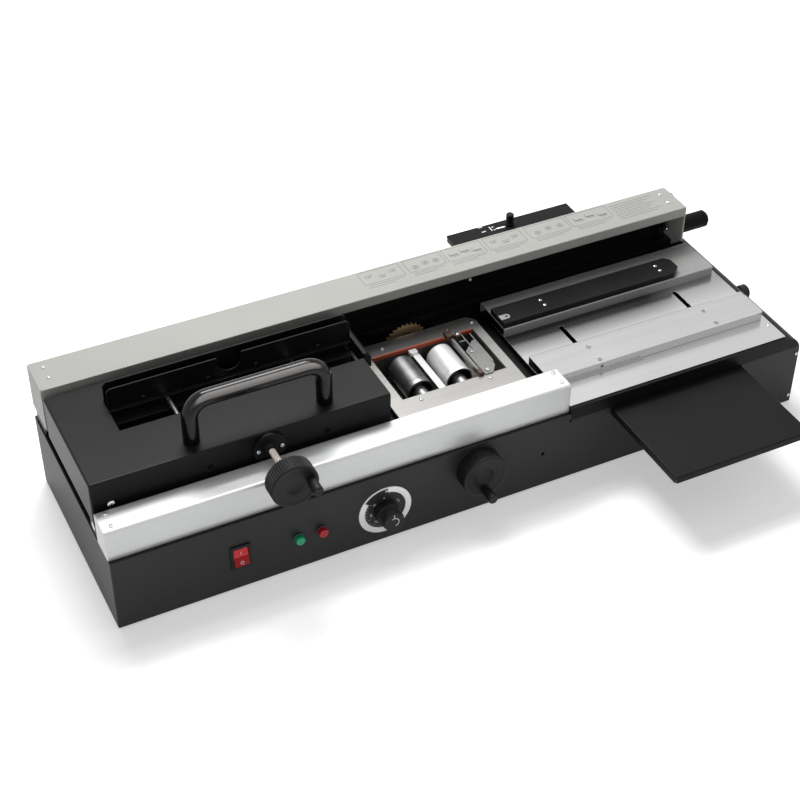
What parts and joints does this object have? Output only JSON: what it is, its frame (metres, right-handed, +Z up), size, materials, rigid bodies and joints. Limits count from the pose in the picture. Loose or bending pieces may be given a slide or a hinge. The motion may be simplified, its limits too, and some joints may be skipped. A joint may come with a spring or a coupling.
{
  "type": "perfect binding machine",
  "caption": "Desktop hot-glue book binder: sliding clamp carriage, glue pot with rollers, nip station, handwheels, lever and cover trays.",
  "frame": {"origin": "on the surface it stands on, under the middle of the overall length and depth", "axes": "+X to the right along the length, +Y from the front panel to the back, +Z up"},
  "size_m": [0.912, 0.551, 0.2395],
  "materials": {
    "black_powder": "satin powder coat",
    "rubber_black": "matte",
    "satin_aluminium": "fine satin",
    "warm_grey_paint": "satin",
    "stainless": "brushed",
    "zinc_screw": "bright zinc",
    "turned_steel": "fine turned",
    "beige_steel": "brushed",
    "grey_cast": "cast, slightly rough",
    "gasket_red": "matte silicone",
    "bronze": "dull bronze",
    "brown_phenolic": "matte",
    "gloss_black": "gloss",
    "matte_black_plastic": "matte",
    "dial_black": "matte black plate with white scale",
    "dial_silver": "flat silver",
    "rocker_red": "gloss red",
    "lamp_green": "gloss translucent",
    "lamp_red": "gloss translucent",
    "gloss_black_steel": "black oxide"
  },
  "bodies": {
    "base": {"base_shell": "black_powder", "rubber_feet": "rubber_black", "deck_plate": "black_powder", "nip_frame": "black_powder", "end_cover": "black_powder", "rear_housing": "black_powder", "front_beam": "satin_aluminium", "rear_beam": "warm_grey_paint", "beam_end_plates": "warm_grey_paint", "rails": "turned_steel", "rail_brackets": "black_powder", "pan_screws": "zinc_screw", "nip_table": "stainless", "rear_nip_plate": "stainless", "nip_bar": "black_powder", "glue_pot": "grey_cast", "pot_frame": "black_powder", "pot_plate": "beige_steel", "pot_gasket": "gasket_red", "pot_divider": "stainless", "blade_bridge": "stainless", "blade_pivots": "brown_phenolic", "gear_plate": "stainless", "dial_bezel": "dial_silver", "dial_plate": "dial_black", "rocker_housing": "matte_black_plastic", "lamp_green": "lamp_green", "lamp_red": "lamp_red", "power_inlet": "matte_black_plastic"},
    "carriage": {"carriage_shell": "black_powder", "carriage_screws": "zinc_screw", "carriage_handle": "gloss_black", "carriage_bearings": "grey_cast", "rear_jaw": "black_powder", "guide_tubes": "grey_cast", "clamp_flange": "black_powder"},
    "front_jaw": {"front_jaw_bar": "black_powder", "front_jaw_plate": "black_powder", "jaw_guide_rods": "turned_steel"},
    "clamp_handwheel": {"clamp_screw": "turned_steel", "clamp_wheel": "matte_black_plastic"},
    "clamp_grip": {"clamp_crank_knob": "matte_black_plastic"},
    "glue_crank": {"glue_wheel": "matte_black_plastic", "crank_shaft": "turned_steel"},
    "glue_grip": {"glue_crank_knob": "matte_black_plastic"},
    "roller_left": {"glue_roller_left": "turned_steel"},
    "roller_right": {"glue_roller_right": "turned_steel"},
    "sprocket": {"drive_sprocket": "bronze", "sprocket_arbor": "gloss_black_steel"},
    "nip_clamp": {"front_nip_plate": "stainless", "nip_shoes": "zinc_screw"},
    "lever": {"nip_lever": "gloss_black"},
    "front_tray": {"cover_tray": "black_powder"},
    "back_tray": {"rear_tray": "black_powder"},
    "side_gauge": {"gauge_slider": "turned_steel"},
    "gauge_nut": {"gauge_knob": "matte_black_plastic"},
    "side_knob": {"end_knob": "matte_black_plastic"},
    "heat_dial": {"dial_knob": "matte_black_plastic"},
    "power_rocker": {"rocker_switch": "rocker_red"}
  },
  "joints": [
    {"name": "carriage_slide", "type": "slide", "parent": "base", "child": "carriage", "axis": [1, 0, 0], "range_m": [0, 0.5]},
    {"name": "jaw_slide", "type": "slide", "parent": "carriage", "child": "front_jaw", "axis": [0, 1, 0], "range_m": [-0.038, 0.0115]},
    {"name": "clamp_turn", "type": "hinge", "parent": "front_jaw", "child": "clamp_handwheel", "pos_m": [-0.2515, -0.1555, 0.1545], "axis": [0, 1, 0], "range_deg": [-3421, 1036]},
    {"name": "clamp_grip_spin", "type": "hinge", "parent": "clamp_handwheel", "child": "clamp_grip", "pos_m": [-0.2335, -0.1765, 0.1575], "axis": [0, 1, 0], "continuous": true},
    {"name": "glue_crank_turn", "type": "hinge", "parent": "base", "child": "glue_crank", "pos_m": [-0.012, -0.1475, 0.06746], "axis": [0, 1, 0], "continuous": true},
    {"name": "glue_grip_spin", "type": "hinge", "parent": "glue_crank", "child": "glue_grip", "pos_m": [-0.0125, -0.1685, 0.04896], "axis": [0, 1, 0], "continuous": true},
    {"name": "roller_left_turn", "type": "hinge", "parent": "base", "child": "roller_left", "pos_m": [-0.024, 0.015, 0.092], "axis": [0, 1, 0], "continuous": true},
    {"name": "roller_right_turn", "type": "hinge", "parent": "base", "child": "roller_right", "pos_m": [0.029, 0.015, 0.092], "axis": [0, 1, 0], "continuous": true},
    {"name": "sprocket_turn", "type": "hinge", "parent": "base", "child": "sprocket", "pos_m": [0.0025, 0.0832, 0.092], "axis": [0, 1, 0], "continuous": true},
    {"name": "nip_lever_turn", "type": "hinge", "parent": "base", "child": "lever", "pos_m": [0.4095, 0.1195, 0.168], "axis": [-1, 0, 0], "range_deg": [0, 100.05]},
    {"name": "nip_slide", "type": "slide", "parent": "base", "child": "nip_clamp", "axis": [0, 1, 0], "range_m": [0, 0.06]},
    {"name": "front_tray_slide", "type": "slide", "parent": "base", "child": "front_tray", "axis": [0, 1, 0], "range_m": [0, 0.1]},
    {"name": "back_tray_slide", "type": "slide", "parent": "base", "child": "back_tray", "axis": [0, -1, 0], "range_m": [0, 0.09]},
    {"name": "gauge_slide", "type": "slide", "parent": "back_tray", "child": "side_gauge", "axis": [-1, 0, 0], "range_m": [0, 0.0185]},
    {"name": "gauge_nut_turn", "type": "hinge", "parent": "side_gauge", "child": "gauge_nut", "pos_m": [0.25145, 0.2615, 0.098], "axis": [0, 0, 1], "continuous": true},
    {"name": "side_knob_turn", "type": "hinge", "parent": "base", "child": "side_knob", "pos_m": [0.45, -0.0065, 0.087], "axis": [1, 0, 0], "continuous": true},
    {"name": "heat_dial_turn", "type": "hinge", "parent": "base", "child": "heat_dial", "pos_m": [-0.1318, -0.1485, 0.0489], "axis": [0, 1, 0], "range_deg": [0, 300]},
    {"name": "rocker_tilt", "type": "hinge", "parent": "base", "child": "power_rocker", "pos_m": [-0.30925, -0.1365, 0.0507], "axis": [1, 0, 0], "range_deg": [0, 11]}
  ],
  "couplings": [
    {"joint": "clamp_turn", "follows": "jaw_slide", "rad_per_m": 1570.8},
    {"joint": "sprocket_turn", "follows": "glue_crank_turn", "ratio": -0.72727},
    {"joint": "roller_left_turn", "follows": "glue_crank_turn", "ratio": 1.2},
    {"joint": "roller_right_turn", "follows": "glue_crank_turn", "ratio": 1.2},
    {"joint": "nip_lever_turn", "follows": "nip_slide", "rad_per_m": 29.089}
  ]
}
